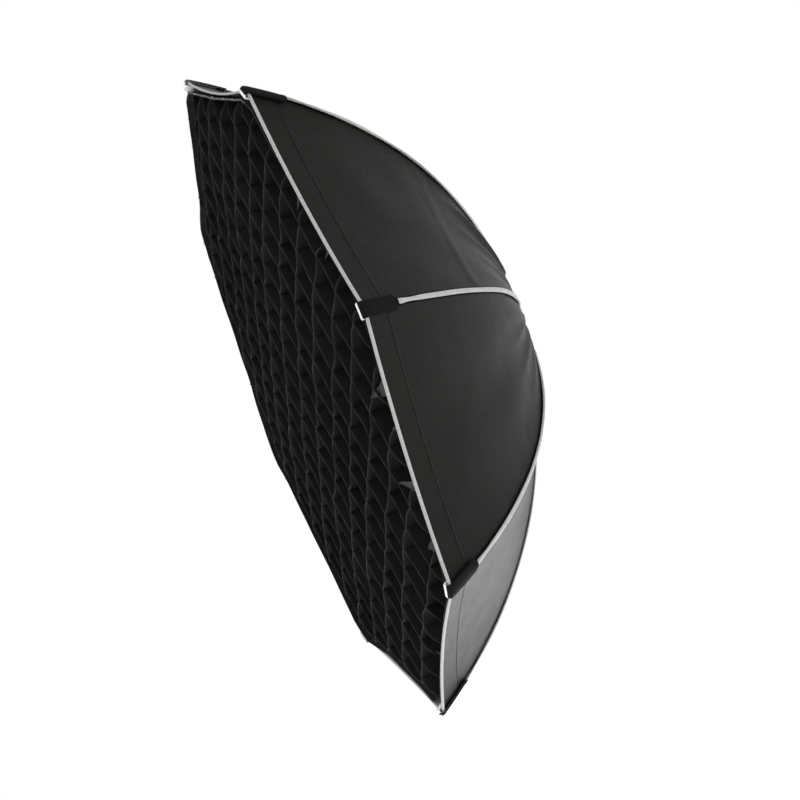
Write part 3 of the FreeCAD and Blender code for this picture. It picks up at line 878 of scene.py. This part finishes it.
def grid_strip(index, way):
    """One strip: points, faces, material numbers, texture places, and its length."""
    across, along = strip_line(index, way)
    across = end_flare(across, along, way, index)
    run = np.gradient(across, axis=0), np.gradient(along, axis=0)
    size = np.hypot(*run)
    reach = np.minimum(along - along[0], along[-1] - along)
    sides = []
    for sign in (1, -1):
        a = across + sign * ROW_HALF * (run[1] / size)
        b = along + sign * ROW_HALF * (-run[0] / size)
        x, z = plane_point(a, b) if way == 0 else plane_point(b, a)
        forward = front_bulge(x, z) - end_slope(reach)
        y = mix(GRID_FRONT, GRID_BACK, ROW_SHARE) - forward * (1 - ROW_SHARE) ** 1.5
        sides.append(np.stack([x, y, z], -1))
    points, faces, _ = two_sided(*sides)
    cells, bands = len(across) - 1, len(ROW_SHARE) - 1
    # painted sheen: the front band and front edge of each strip take the lighter hem colour, except near the
    # border
    hem_sheen_cells = np.minimum(reach[:-1, 0], reach[1:, 0]) > HEM_SHEEN_CLEAR
    hem = np.tile((hem_sheen_cells[:, None] & (np.arange(bands) < HEM_SHEEN_ROWS)).ravel(), 2)
    # both sides, both ends, the front edge and the back edge, as two_sided orders them
    numbers = np.concatenate([hem, np.zeros(2 * bands), hem_sheen_cells, np.zeros(cells)]).astype(int)
    length = run_of(np.stack([across[:, 0], along[:, 0]], 1))
    return points, faces, numbers, sheet_uv(length[:, None] + index * 0.31, ROW_SHARE * 0.048), length[-1]


LOOSE_ENDS = (
    # gore, u where the flap's base starts, u where it ends, reach inwards, height forwards
    (2, 0.225, 0.300, 0.046, 0.0095),
    (2, 0.400, 0.425, 0.014, 0.0030),
    (2, 0.605, 0.655, 0.042, 0.0090),
    (2, 0.805, 0.875, 0.014, 0.0055),
    (1, 0.445, 0.475, 0.020, 0.0045),
    (1, 0.705, 0.728, 0.016, 0.0040),
    (3, 0.560, 0.590, 0.008, 0.0030),
    (5, 0.340, 0.395, 0.020, 0.0050),
    (6, 0.700, 0.745, 0.016, 0.0045),
    (7, 0.240, 0.290, 0.018, 0.0045),
)


def loose_end(gore, start, end, reach, height):
    """The end of a strip that has folded over and curls forward off the border: a thin curved triangle."""
    q = np.linspace(0, 1, 14)[:, None]
    p = np.linspace(0, 1, 9)
    spread = mix(start, end, mix(p, 1.0, 0.96 * q ** 0.6))
    azimuth = (gore + 0.5) * STEP + np.arctan((2 * spread - 1) * TAN_HALF)
    y = border_front(azimuth) + 0.0012 - height * q ** 1.2 + 0.0024 * np.sin(math.pi * p) * (1 - q)
    edge = wall(azimuth, y, WALL_GAP + BORDER + 0.0006)
    radius = edge - reach * np.sin(0.5 * math.pi * q) ** 1.2
    points, faces, _ = two_sided(*(polar(radius, y + sign * 0.0004, azimuth) for sign in (-1, 1)))
    return points, faces, sheet_uv(reach * q, spread * 0.36)


def grid_lattice():
    """Crossing cloth strips with hems on their front edges, painted lighter as sheen, a little slack between
    crossings.
    """
    parts, uvs = [], []
    for way in (0, 1):
        for index in range(-GRID_STRIPS, GRID_STRIPS + 1):
            points, faces, numbers, uv, length = grid_strip(index, way)
            parts.append((points, faces, numbers))
            uvs.append(uv)
    for shape in LOOSE_ENDS:
        points, faces, uv = loose_end(*shape)
        # painted sheen on the loose ends, in the lighter fold cloth
        parts.append((points, faces, 2))
        uvs.append(uv)
    points, faces, numbers = joined(parts)
    piece = make("grid_strips", points, faces, [GRID, GRID_HEM_SHEEN, GRID_FOLD_SHEEN], numbers, np.concatenate(uvs))
    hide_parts("grid_lattice")
    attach(piece, "grid")


def border_front(azimuth):
    """Depth of the border's front edge: proud of the rim on one side of the box, flush on the other."""
    return mix(BORDER_FRONT, BORDER_FLUSH, smooth(np.cos(azimuth - 3 * STEP), -0.1, 0.35))


def grid_border():
    """Band of cloth round the grid, which sticks to the inside of the rim."""
    azimuth = np.linspace(0, math.tau, RIBS * 28, endpoint=False)[:, None]
    share = np.array([0.0, 0.012, 0.035, 0.06, 0.2, 0.4, 0.7, 1.0])
    half = np.array([0.0004, 0.0011, 0.0011, 0.0008, 0.0008, 0.0008, 0.0008, 0.0008])
    cos, sin = np.cos(azimuth), np.sin(azimuth)
    ripple = 0.0014 * waves(cos * 0.43, sin * 0.43, 81, 0.13) * (1 - share)
    y = mix(border_front(azimuth), GRID_BACK, share) - 0.0008 * waves(cos, sin, 82, 0.25) * (1 - share)
    middle = wall(azimuth, y, WALL_GAP + BORDER / 2) - np.abs(ripple)
    layers = [np.swapaxes(polar(middle + sign * half, y, azimuth), 0, 1) for sign in (1, -1)]
    points, faces, _ = two_sided(*layers, around=True)
    uv = sheet_uv(azimuth.T * 0.44, share[:, None] * 0.045)
    # painted highlight: the front row of the first gore is lighter, for its edge lit from above
    columns, bands = len(azimuth), len(share) - 1
    light = (np.arange(bands)[:, None] < 1) & (np.arange(columns) < columns // RIBS)
    numbers = np.zeros(len(faces), int)
    numbers[:2 * light.size] = np.tile(light.ravel(), 2)
    piece = make("grid_edge_band", points, faces, [GRID_BAND, BORDER_HIGHLIGHT], numbers, uv)
    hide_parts("grid_border")
    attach(piece, "grid")


TACK_GORES = (0, 4, 5, 6, 7)  # where the border's front edge can be seen
TACKS = 5  # on each of them
TACK_STEP = 0.135  # angle between two tacks


def border_tacks():
    """Light bar tacks at the front edge of the border, about where the strips end."""
    x = np.linspace(-0.0011, 0.0011, 6)[:, None] * [1, 0, 0]
    side, up = np.tile([0.0, 0, 1.0], (6, 1)), np.tile([0.0, -1.0, 0], (6, 1))
    parts = []
    for gore in TACK_GORES:
        for place in range(TACKS):
            offset = (place - 2) * TACK_STEP + 0.012 * math.sin((gore * TACKS + place) * 2.4)
            azimuth = gore * STEP + HALF + offset
            front = float(border_front(azimuth))
            radius = float(wall(azimuth, front, WALL_GAP + BORDER / 2))
            path = polar(radius, front + 0.0004, offset) + x
            points, faces = tube(path, side, up, oval(0.0013, 0.0009, 8), [0.5, 0.9, 1, 1, 0.9, 0.5])
            parts.append((turned(points, azimuth - offset), faces, 0))
    piece = make("border_tacks", *joined(parts)[:2], [TACK])
    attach(piece, "grid")


# ---- diffusers ----
def disc(name, edge, y, height, azimuths):
    """A closed white sheet across the box: edge gives its outline, height its small waves."""
    azimuth = np.linspace(0, math.tau, azimuths, endpoint=False)
    share = np.concatenate([np.linspace(0.02, 0.93, 40), [0.945, 0.955, 0.975, 0.995, 1.0]])[:, None]
    radius = edge(azimuth) * share
    x, z = radius * np.sin(azimuth), radius * np.cos(azimuth)
    middle = y + height(x, z, share)
    half = WHITE_CLOTH / 2 + 0.0004 * smooth(share, 0.94, 0.96)
    points, faces, _ = two_sided(*(np.stack([x, middle + sign * half, z], -1) for sign in (1, -1)), around=True)
    # the small hole in the middle is closed by two caps instead of a wall
    hole = 2 * (len(share) - 1) * azimuths
    faces = np.delete(faces, np.s_[hole:hole + azimuths], axis=0).tolist()
    caps = [range(azimuths), [len(points) // 2 + i for i in reversed(range(azimuths))]]
    return make(name, points, faces + caps, [DIFFUSER])


def front_diffuser():
    """White cloth across the front, just behind the grid."""
    def edge(azimuth):
        return wall(azimuth, DIFFUSER_Y, WALL_GAP)

    def height(x, z, share):
        pull = np.sin(np.arctan2(x, z) * 16) * 0.0006 * smooth(share, 0.7, 1.0)
        wave = (0.0018 * waves(x, z, 91, 0.3) + pull) * (1 - smooth(share, 0.97, 1.0))
        return wave - 0.003 * (1 - share ** 2)

    piece = disc("diffuser_sheet", edge, DIFFUSER_Y, height, RIBS * 24)
    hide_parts("front_diffuser")
    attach(piece, "front")


def inner_baffle():
    """Smaller white cloth half way back, its sides curved in between the straps."""
    def edge(azimuth):
        from_middle = np.mod(azimuth, STEP) - HALF
        chord = BAFFLE_CORNER * COS_HALF / np.cos(from_middle)
        return chord - 0.012 * np.cos(from_middle / HALF * math.pi / 2) ** 2

    def height(x, z, share):
        return 0.0022 * waves(x, z, 95, 0.22) * (1 - smooth(share, 0.9, 1.0)) - 0.002 * (1 - share ** 2)

    piece = disc("baffle_sheet", edge, BAFFLE_Y, height, RIBS * 20)
    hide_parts("inner_baffle")
    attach(piece, "front")


def baffle_straps():
    """White elastics from the baffle's corners towards the ribs, doubled over at each end."""
    start, end = 0.286, 0.3322  # distances from the axis
    length = np.linspace(start, end, 18)[:, None]
    x = np.linspace(-0.0058, 0.0058, 7)
    narrow = 1 - 0.12 * np.sin(math.pi * (length - start) / (end - start))
    thick = 0.0005 + 0.0005 * (1 - smooth(length, 0.300, 0.304)) + 0.0005 * smooth(length, 0.324, 0.327)
    sides = [np.stack(np.broadcast_arrays(x * narrow, BAFFLE_Y - 0.0009 + sign * thick, length), -1)
             for sign in (1, -1)]
    points, faces, _ = two_sided(*sides)
    parts = [(turned(points, number * STEP), faces, 0) for number in range(RIBS)]
    uv = np.tile(sheet_uv(x, length), (RIBS, 1))
    piece = make("baffle_elastics", *joined(parts)[:2], [WHITE_ELASTIC], 0, uv)
    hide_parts("baffle_straps")
    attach(piece, "front")


# ---- throat ----
def throat_cuff():
    """Gathered elastic cuff that closes the shell round the hub."""
    azimuth = np.linspace(0, math.tau, RIBS * 48, endpoint=False)[:, None]
    share = np.linspace(0, 1, 22)
    from_middle = np.mod(azimuth, STEP) - HALF
    # a sleeve round the hub, and a lip that reaches out over the shell's end
    sleeve, lip_edge = 0.0792, 0.0875
    front, turn, back = -0.0118, -0.0030, -0.0022
    octagon = np.minimum(lip_edge, rib(SHELL_END)[0] * COS_HALF / np.cos(from_middle) + 0.0022)
    radius = mix(sleeve, octagon, smooth(share, 0.30, 1.0))
    y = np.where(share < 0.3, mix(front, turn, share / 0.3), mix(turn, back, (share - 0.3) / 0.7))
    gather = np.sin(azimuth * 96 + 2 * np.sin(azimuth * 11)) * 0.00035
    gather = gather * np.sin(math.pi * np.clip(share * 1.6, 0, 1))
    roll = 0.0006 * np.exp(-((share - 0.04) / 0.04) ** 2) + 0.0005 * np.exp(-((share - 0.30) / 0.06) ** 2)
    lip = smooth(share, 0.26, 0.36)
    layers = []
    for sign in (1, -1):
        out = radius + (gather + (roll + 0.0004) * sign) * (1 - lip)
        height = y + (gather * 0.5 + 0.0004 * sign) * lip
        layers.append(np.swapaxes(polar(out, height, azimuth), 0, 1))
    points, faces, _ = two_sided(*layers, around=True)
    uv = sheet_uv(azimuth.T * 0.085, share[:, None] * 0.02)
    piece = make("throat_cuff", points, faces, [ELASTIC], 0, uv)
    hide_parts("rear_collar")
    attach(piece, "hub")


# ---- finishes of the CAD parts ----
FINISHES = (
    (("retaining_ring", "hinge_pins", "latch_pins", "rib_rod"), STEEL),
    (("insert_ring",), ALUMINIUM),
    (("hub_ring",), ANODISED),
    (("rib_holder",), HOLDER),
    (("latch_lever",), LEVER),
)


def finish_cad():
    """The other nodes aren't shown, and take the shell's material."""
    for name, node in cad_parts.items():
        look = next((look for names, look in FINISHES if name.startswith(names)), SHELL)
        node.data.materials.clear()
        node.data.materials.append(look)


make_camera()
make_floor()
make_lights()
finish_cad()
for number in range(RIBS):
    for way_round in ("after", "before"):
        half_gore(number, way_round)
        rim_trim(number, way_round)
    rib_piping(number)
    corner_pocket(number)
grid_border()
border_tacks()
grid_lattice()
front_diffuser()
baffle_straps()
inner_baffle()
throat_cuff()
